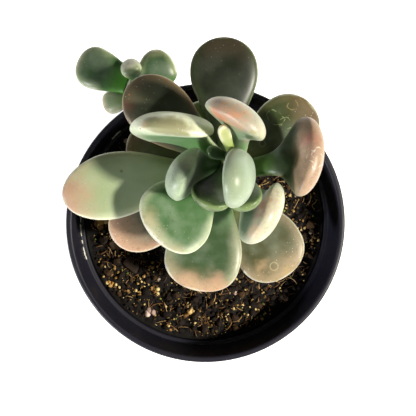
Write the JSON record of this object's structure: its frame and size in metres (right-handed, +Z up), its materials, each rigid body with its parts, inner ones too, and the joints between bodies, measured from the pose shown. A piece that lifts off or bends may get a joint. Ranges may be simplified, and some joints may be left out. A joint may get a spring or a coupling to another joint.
{
  "type": "potted succulent",
  "caption": "Thick-leaved rosette succulent on a short leaning stem with a small side shoot, growing in dark soil in a tapered black plastic nursery pot.",
  "frame": {"origin": "middle of the flat underside of the pot, which rests on the ground plane", "axes": "+Z up; +X to the right and +Y to the top of the picture, towards which the plant leans"},
  "size_m": [0.105, 0.1195, 0.147],
  "materials": {
    "pot": "satin moulded black",
    "soil": "loose, damp, matt",
    "stem": "dull green with leaf scars",
    "leaf": "waxy bloom, pink tips",
    "young_leaf": "waxy, fresh green"
  },
  "bodies": {
    "root": {"pot": "pot", "soil": "soil", "main_stem": "stem", "shoot_stem": "stem", "crown": "young_leaf", "leaf_01": "leaf", "leaf_02": "leaf", "leaf_03": "leaf", "leaf_04": "leaf", "leaf_05": "leaf", "leaf_06": "leaf", "leaf_07": "leaf", "leaf_08": "leaf", "leaf_09": "leaf", "leaf_10": "leaf", "leaf_11": "leaf", "leaf_12": "leaf", "leaf_13": "leaf", "leaf_14": "leaf", "leaf_15": "leaf", "leaf_16": "leaf", "leaf_17": "leaf", "leaf_18": "leaf", "shoot_leaf_1": "leaf", "shoot_leaf_2": "leaf", "shoot_leaf_3": "leaf", "shoot_leaf_4": "leaf", "shoot_leaf_5": "leaf"}
  },
  "joints": []
}
